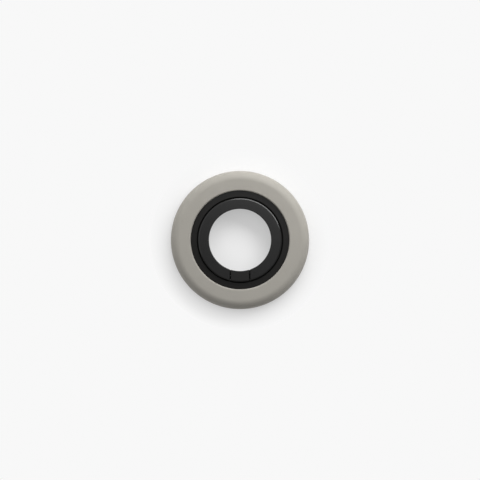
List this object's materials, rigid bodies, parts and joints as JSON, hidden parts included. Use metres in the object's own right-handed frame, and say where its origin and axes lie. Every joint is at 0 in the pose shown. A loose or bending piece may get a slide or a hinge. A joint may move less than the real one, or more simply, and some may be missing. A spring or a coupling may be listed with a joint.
{
  "type": "magnetic phone holder",
  "caption": "Round soft-edged magnetic holder for the back of a phone, with a finger loop that swivels and folds up on a friction hinge.",
  "frame": {"origin": "middle of the back face, on the plane where the pad lies on the phone", "axes": "+Z from the phone towards the hand, +Y towards the top of the phone, hinge of the finger loop on the -Y side, +X to the right as seen from the hand"},
  "size_m": [0.0588, 0.0588, 0.0074],
  "materials": {
    "soft_touch": "warm grey silicone, smooth and matt",
    "moulded_black": "black moulded plastic, fine spark texture",
    "bezel_black": "black moulded plastic, satin",
    "pad_rubber": "dark grip pad, matt",
    "plated_steel": "zinc plated, dull",
    "nickel": "nickel plated magnet, bright",
    "screw_steel": "zinc plated",
    "slide_plastic": "natural acetal, waxy",
    "spring_steel": "bright strip",
    "swivel_black": "black moulded plastic, satin",
    "loop_black": "black coated aluminium, satin",
    "pin_steel": "ground stainless pin",
    "friction_plastic": "dark friction polymer"
  },
  "bodies": {
    "base": {"soft_ring": "soft_touch", "housing": "moulded_black", "bezel": "bezel_black", "base_plate": "moulded_black", "back_pad": "pad_rubber", "yoke_ring": "plated_steel", "magnet_01": "nickel", "magnet_02": "nickel", "magnet_03": "nickel", "magnet_04": "nickel", "magnet_05": "nickel", "magnet_06": "nickel", "magnet_07": "nickel", "magnet_08": "nickel", "magnet_09": "nickel", "magnet_10": "nickel", "magnet_11": "nickel", "magnet_12": "nickel", "magnet_13": "nickel", "magnet_14": "nickel", "magnet_15": "nickel", "magnet_16": "nickel", "magnet_17": "nickel", "magnet_18": "nickel", "base_screws": "screw_steel", "glide_washer": "slide_plastic", "wave_washer": "spring_steel"},
    "turntable": {"swivel": "swivel_black"},
    "loop": {"finger_loop": "loop_black", "hinge_pin": "pin_steel", "friction_washer_left": "friction_plastic", "friction_washer_right": "friction_plastic"}
  },
  "joints": [
    {"name": "swivel_turn", "type": "hinge", "parent": "base", "child": "turntable", "pos_m": [0, 0, 0], "axis": [0, 0, 1], "continuous": true},
    {"name": "loop_fold", "type": "hinge", "parent": "turntable", "child": "loop", "pos_m": [0, -0.01575, 0.0061], "axis": [1, 0, 0], "range_deg": [0, 110]}
  ]
}
